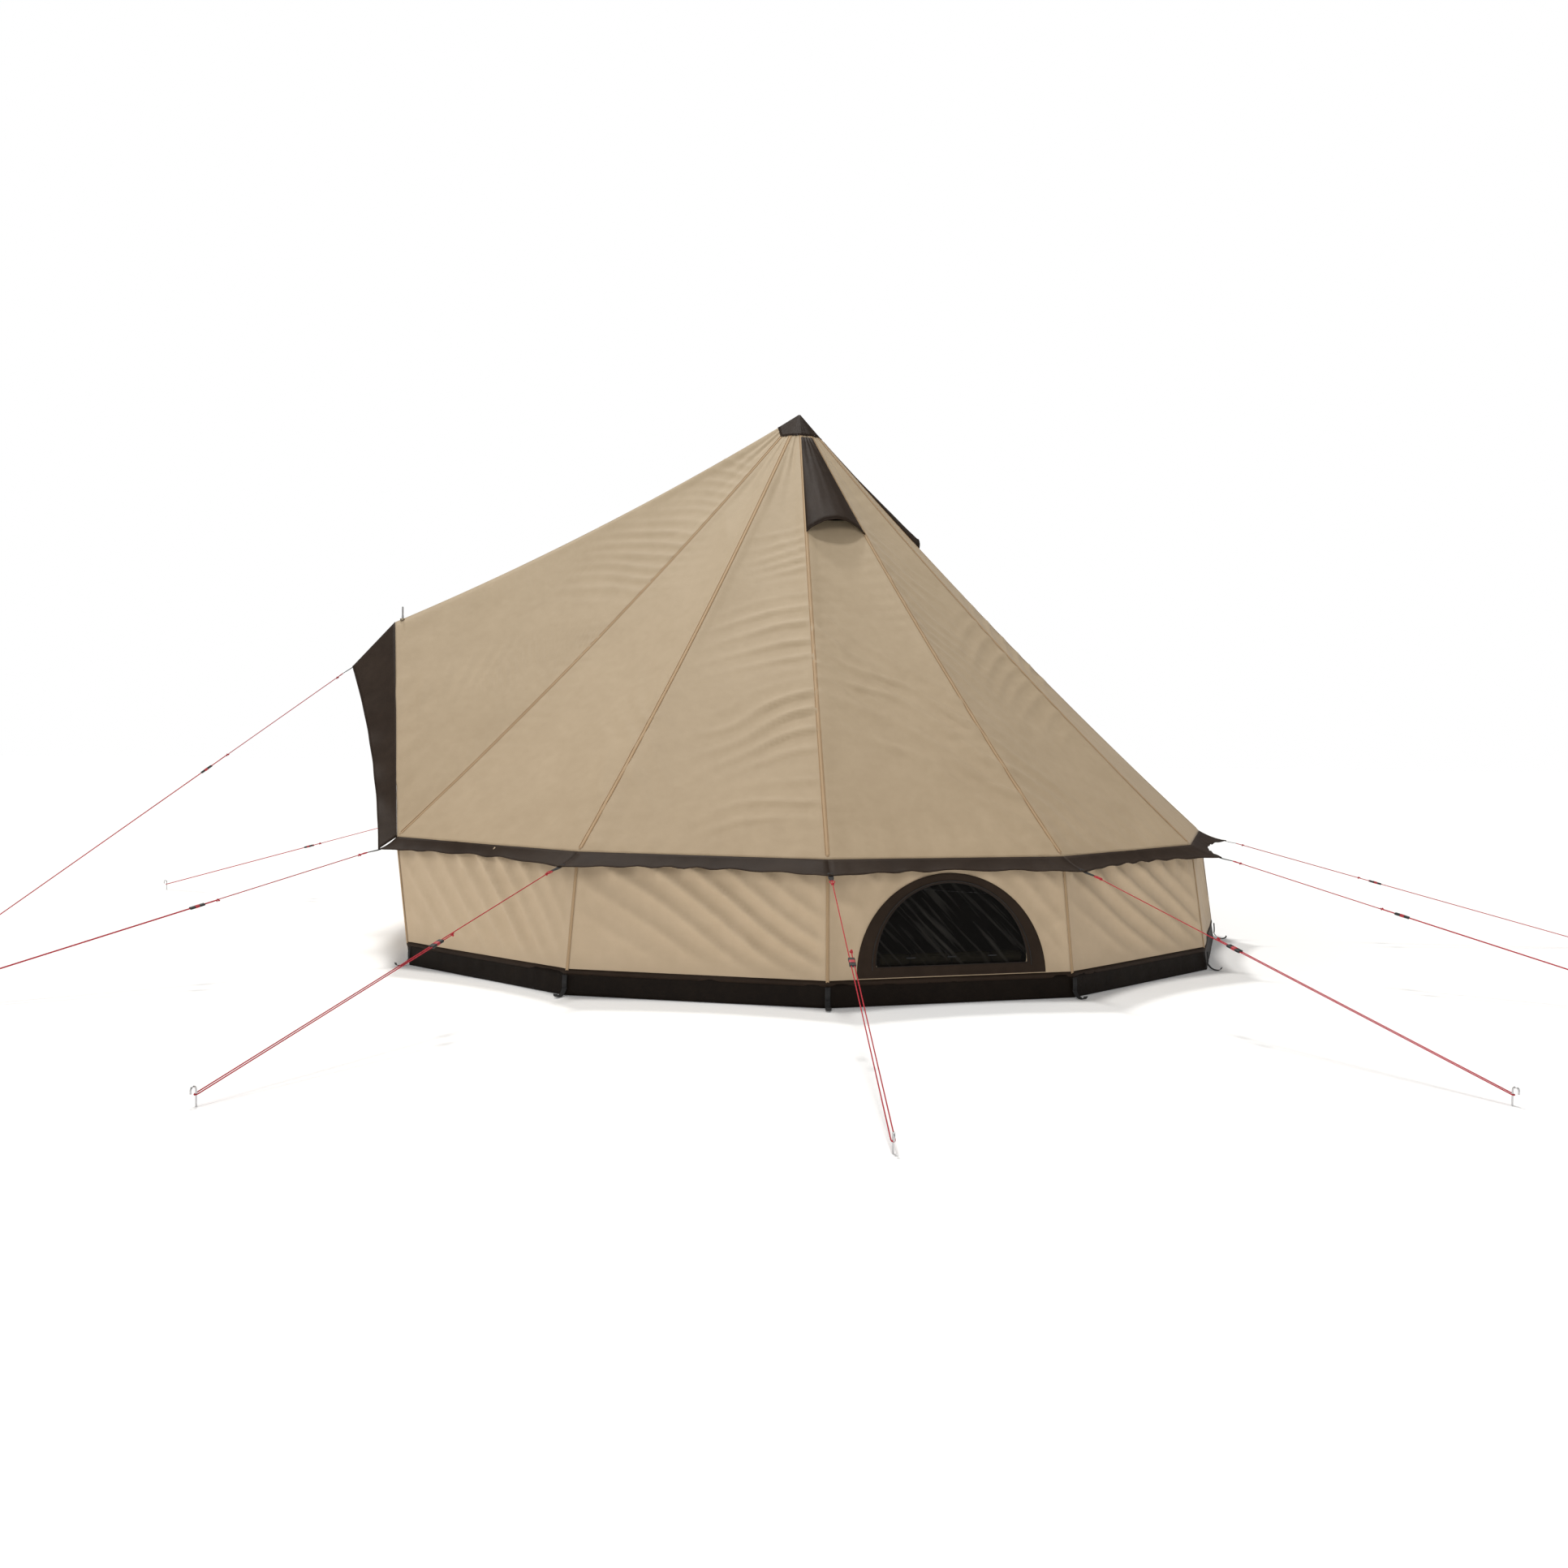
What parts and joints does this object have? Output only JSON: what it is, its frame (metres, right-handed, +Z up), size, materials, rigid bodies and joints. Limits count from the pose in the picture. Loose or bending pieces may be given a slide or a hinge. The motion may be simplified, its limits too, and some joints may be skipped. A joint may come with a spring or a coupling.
{
  "type": "bell tent",
  "caption": "Round-walled bell tent on a centre pole, with an A-framed door under a hood, eave flaps, vents, mesh windows and pegged guy lines.",
  "frame": {"origin": "on the ground under the centre pole, on the groundsheet's under side", "axes": "+Z up along the centre pole; the door faces -Y; +X is the side of corner 1, on the right of someone who stands outside and faces the door"},
  "size_m": [6.8905, 7.3858, 2.5028],
  "materials": {
    "canvas": "plain weave, lightly proofed",
    "trim_canvas": "plain weave, slight sheen",
    "skirt_canvas": "coated hem fabric",
    "cover_canvas": "olive brown rolled cover",
    "netting": "fine insect mesh",
    "groundsheet": "coated sheet",
    "webbing": "woven tape",
    "cord": "braided cord",
    "pole_steel": "zinc-plated tube",
    "peg_steel": "bright wire",
    "black_plastic": "moulded",
    "rubber": "moulded",
    "eyelet_brass": "pressed ring"
  },
  "bodies": {
    "root": {"roof_panels_right": "canvas", "roof_panels_left": "canvas", "wall_panels": "canvas", "roof_panel_vent_right": "canvas", "vent_hood_right": "trim_canvas", "wall_panel_window_right": "canvas", "roof_panel_vent_rear": "canvas", "vent_hood_rear": "trim_canvas", "wall_panel_window_rear": "canvas", "roof_panel_vent_left": "canvas", "vent_hood_left": "trim_canvas", "wall_panel_window_left": "canvas", "vent_netting": "netting", "window_netting": "netting", "window_borders": "trim_canvas", "window_rolls": "cover_canvas", "roof_gable_right": "canvas", "front_side_right": "canvas", "roof_gable_left": "canvas", "front_side_left": "canvas", "door_hood": "trim_canvas", "apex_cap": "trim_canvas", "eave_flaps": "trim_canvas", "skirt": "skirt_canvas", "groundsheet": "groundsheet", "groundsheet_upstand": "groundsheet", "hem_loops": "webbing", "centre_pole_foot": "rubber", "centre_pole_lower": "pole_steel", "centre_pole_middle": "pole_steel", "centre_pole_upper": "pole_steel", "centre_pole_cap": "black_plastic", "door_pole_right": "pole_steel", "door_pole_left": "pole_steel", "door_pole_feet": "rubber", "door_pole_crown": "pole_steel", "ridge_eyelet": "eyelet_brass", "guy_line_01": "cord", "guy_line_02": "cord", "guy_line_03": "cord", "guy_line_04": "cord", "guy_line_05": "cord", "guy_line_06": "cord", "guy_line_11": "cord", "guy_line_12": "cord", "guy_line_hood": "cord", "guy_pegs": "peg_steel", "guy_tabs": "webbing"},
    "door_right": {"door_flap_right": "canvas"},
    "door_left": {"door_flap_left": "canvas"},
    "zip_slider": {"door_zip_slider": "black_plastic"},
    "runner_01": {"guy_runner_01": "black_plastic"},
    "runner_02": {"guy_runner_02": "black_plastic"},
    "runner_03": {"guy_runner_03": "black_plastic"},
    "runner_04": {"guy_runner_04": "black_plastic"},
    "runner_05": {"guy_runner_05": "black_plastic"},
    "runner_06": {"guy_runner_06": "black_plastic"},
    "runner_11": {"guy_runner_11": "black_plastic"},
    "runner_12": {"guy_runner_12": "black_plastic"},
    "runner_hood": {"guy_runner_hood": "black_plastic"}
  },
  "joints": [
    {"name": "door_right_swing", "type": "hinge", "parent": "root", "child": "door_right", "pos_m": [0.61, -1.74039, 0], "axis": [-0.4023, -0.1001, 0.91], "range_deg": [0, 120]},
    {"name": "door_left_swing", "type": "hinge", "parent": "root", "child": "door_left", "pos_m": [-0.61, -1.74039, 0], "axis": [-0.4023, 0.1001, -0.91], "range_deg": [0, 120]},
    {"name": "zip_slide", "type": "slide", "parent": "door_right", "child": "zip_slider", "axis": [0, -0.1093, 0.994], "range_m": [0, 1.2]},
    {"name": "runner_01_slide", "type": "slide", "parent": "root", "child": "runner_01", "axis": [0.4554, -0.8526, -0.2563], "range_m": [0, 0.4]},
    {"name": "runner_02_slide", "type": "slide", "parent": "root", "child": "runner_02", "axis": [0.8037, -0.537, -0.2563], "range_m": [0, 0.4]},
    {"name": "runner_03_slide", "type": "slide", "parent": "root", "child": "runner_03", "axis": [0.9609, -0.1052, -0.2563], "range_m": [0, 0.4]},
    {"name": "runner_04_slide", "type": "slide", "parent": "root", "child": "runner_04", "axis": [0.9009, 0.3503, -0.2563], "range_m": [0, 0.4]},
    {"name": "runner_05_slide", "type": "slide", "parent": "root", "child": "runner_05", "axis": [0.6373, 0.7267, -0.2563], "range_m": [0, 0.4]},
    {"name": "runner_06_slide", "type": "slide", "parent": "root", "child": "runner_06", "axis": [0.2297, 0.9389, -0.2563], "range_m": [0, 0.4]},
    {"name": "runner_11_slide", "type": "slide", "parent": "root", "child": "runner_11", "axis": [-0.8037, -0.537, -0.2563], "range_m": [0, 0.4]},
    {"name": "runner_12_slide", "type": "slide", "parent": "root", "child": "runner_12", "axis": [-0.4554, -0.8526, -0.2563], "range_m": [0, 0.4]},
    {"name": "runner_hood_slide", "type": "slide", "parent": "root", "child": "runner_hood", "axis": [0, -0.8001, -0.5998], "range_m": [0, 0.4]}
  ]
}
